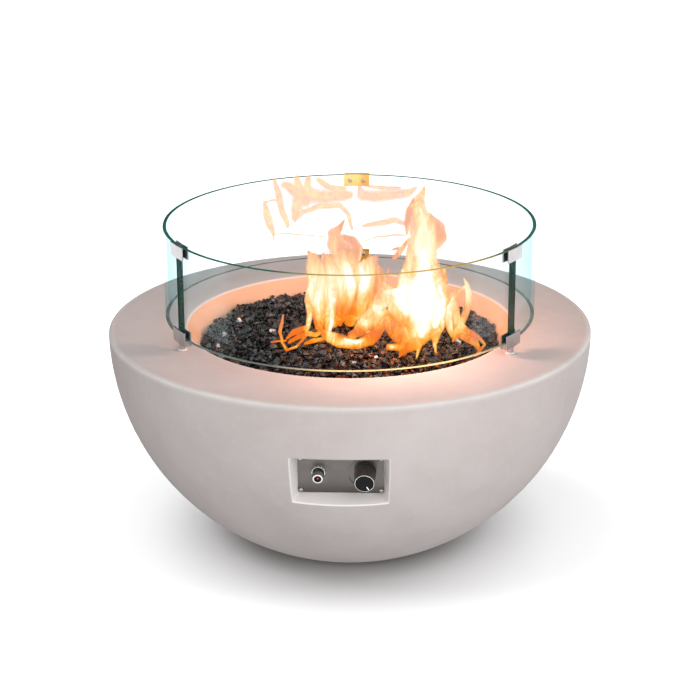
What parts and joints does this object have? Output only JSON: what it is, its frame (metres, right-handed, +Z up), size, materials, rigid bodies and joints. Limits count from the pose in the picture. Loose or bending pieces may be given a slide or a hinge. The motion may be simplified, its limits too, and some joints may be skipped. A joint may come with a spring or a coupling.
{
  "type": "gas fire pit",
  "caption": "Floor-standing round cast fire bowl that burns gas through black fire glass, with a lift-off curved glass wind guard, a push-button igniter and a turn knob.",
  "frame": {"origin": "on the floor, on the bowl's vertical axis", "axes": "+Z up; -Y is the front with the control recess; +Y is the rear with the gas inlet"},
  "size_m": [1.0498, 1.0498, 0.7075],
  "materials": {
    "cast_stone": "matte",
    "foot_rubber": "matte",
    "stainless": "satin",
    "burner_steel": "satin",
    "panel_steel": "satin",
    "clamp_steel": "satin",
    "zinc_steel": "satin",
    "screw_steel": "satin",
    "brass": "satin",
    "chrome": "polished",
    "bezel_black": "satin",
    "knob_bronze": "satin",
    "knob_black": "gloss",
    "knob_silver": "polished",
    "insert_black": "matte",
    "lens_red": "gloss",
    "clear_glass": "gloss",
    "fire_glass": "gloss",
    "gasket_rubber": "matte",
    "pad_plastic": "satin",
    "grommet_rubber": "matte",
    "ceramic_white": "satin",
    "igniter_case": "satin",
    "battery_skin": "gloss",
    "sleeve_plastic": "matte",
    "spring_steel": "satin",
    "gas_line": "satin",
    "lead_silicone": "satin",
    "lead_copper": "satin"
  },
  "bodies": {
    "bowl": {"bowl_shell": "cast_stone", "rubber_feet": "foot_rubber", "burner_pan": "stainless", "burner_ring": "burner_steel", "burner_nipple": "burner_steel", "burner_locknut": "zinc_steel", "air_mixer": "zinc_steel", "gas_orifice": "brass", "pilot_bracket": "stainless", "pan_grommets": "grommet_rubber", "electrode_insulator": "ceramic_white", "electrode_rod": "spring_steel", "thermocouple_probe": "burner_steel", "pilot_hood": "stainless", "bracket_screws": "screw_steel", "fire_glass_bed": "fire_glass", "control_plate": "panel_steel", "plate_screws": "screw_steel", "valve_body": "brass", "valve_bushing": "brass", "valve_nut": "zinc_steel", "knob_bezel": "bezel_black", "valve_spring": "spring_steel", "igniter_housing": "igniter_case", "igniter_collar": "chrome", "battery_cell": "battery_skin", "battery_sleeve": "sleeve_plastic", "battery_contact": "spring_steel", "igniter_spring": "spring_steel", "flare_nuts": "brass", "burner_hose": "gas_line", "supply_pipe": "gas_line", "pipe_clip": "zinc_steel", "clip_screws": "screw_steel", "inlet_plate": "stainless", "inlet_plate_screws": "screw_steel", "inlet_fitting": "brass", "inlet_locknut": "brass", "ignition_lead": "lead_silicone", "thermocouple_lead": "lead_copper"},
    "wind_guard": {"glass_panel_left": "clear_glass", "glass_panel_front": "clear_glass", "glass_panel_right": "clear_glass", "top_clamps": "clamp_steel", "bottom_clamps": "clamp_steel", "clamp_gaskets": "gasket_rubber", "clamp_screws": "screw_steel", "foot_posts": "chrome", "foot_pads": "pad_plastic"},
    "igniter_push": {"igniter_button": "chrome", "button_insert": "insert_black", "button_lens": "lens_red"},
    "valve_plug": {"valve_rotor": "brass"},
    "knob": {"valve_stem": "screw_steel", "knob_body": "knob_bronze", "knob_trim_ring": "knob_silver", "knob_cap": "knob_black", "knob_pointer": "knob_silver"}
  },
  "joints": [
    {"name": "wind_guard_lift", "type": "slide", "parent": "bowl", "child": "wind_guard", "axis": [0, 0, 1], "range_m": [0, 0.25]},
    {"name": "igniter_press", "type": "slide", "parent": "bowl", "child": "igniter_push", "axis": [0, 0.9781, 0.2079], "range_m": [0, 0.004], "stiffness_N_per_m": 1200, "springref_m": -0.002, "deforming": ["igniter_spring"]},
    {"name": "knob_turn", "type": "hinge", "parent": "bowl", "child": "valve_plug", "pos_m": [0.049, -0.44648, 0.31095], "axis": [0, -0.9781, -0.2079], "range_deg": [-210, 0]},
    {"name": "knob_press", "type": "slide", "parent": "valve_plug", "child": "knob", "axis": [0, 0.9781, 0.2079], "range_m": [0, 0.003], "stiffness_N_per_m": 2500, "springref_m": -0.0015, "deforming": ["valve_spring"]}
  ]
}
